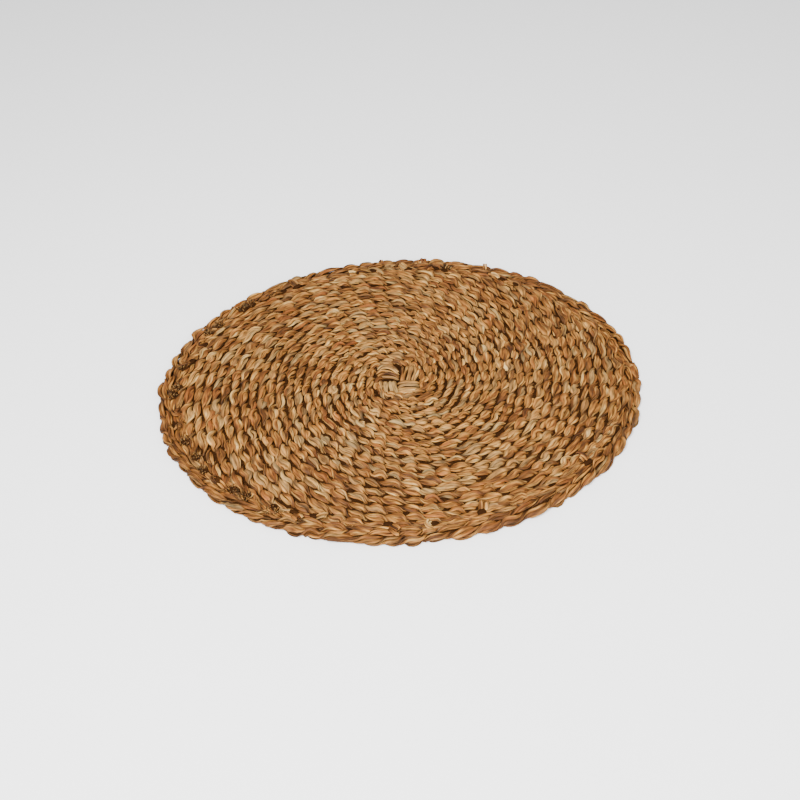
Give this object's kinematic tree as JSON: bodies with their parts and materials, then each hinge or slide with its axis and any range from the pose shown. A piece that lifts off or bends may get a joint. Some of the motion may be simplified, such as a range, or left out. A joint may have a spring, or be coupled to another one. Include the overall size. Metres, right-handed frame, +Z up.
{
  "type": "oval placemat twined from dried plant stems",
  "caption": "Oval flat placemat of dried plant stems, twined in a circular spiral round spokes, with bundles crossing at the centre and a rope border.",
  "frame": {"origin": "middle of the underside, on the surface that the mat lies on", "axes": "+Z up through the mat; X along the oval's long axis and Y along its short one, which are also the two directions of the spoke bundles at the centre"},
  "size_m": [0.45, 0.3606, 0.0098],
  "materials": {
    "weave": "dried stems twisted into strands, golden brown with pale and rusty ones, dull natural sheen",
    "border": "dried stems laid as a rope, a little darker than the field, trimmed ends dark brown",
    "stems": "flat dried stems side by side, olive straw to golden brown"
  },
  "bodies": {
    "root": {"woven_field": "weave", "plaited_border": "border", "spoke_bundle_1": "stems", "spoke_bundle_2": "stems", "spoke_bundle_3": "stems", "spoke_bundle_4": "stems"}
  },
  "joints": []
}
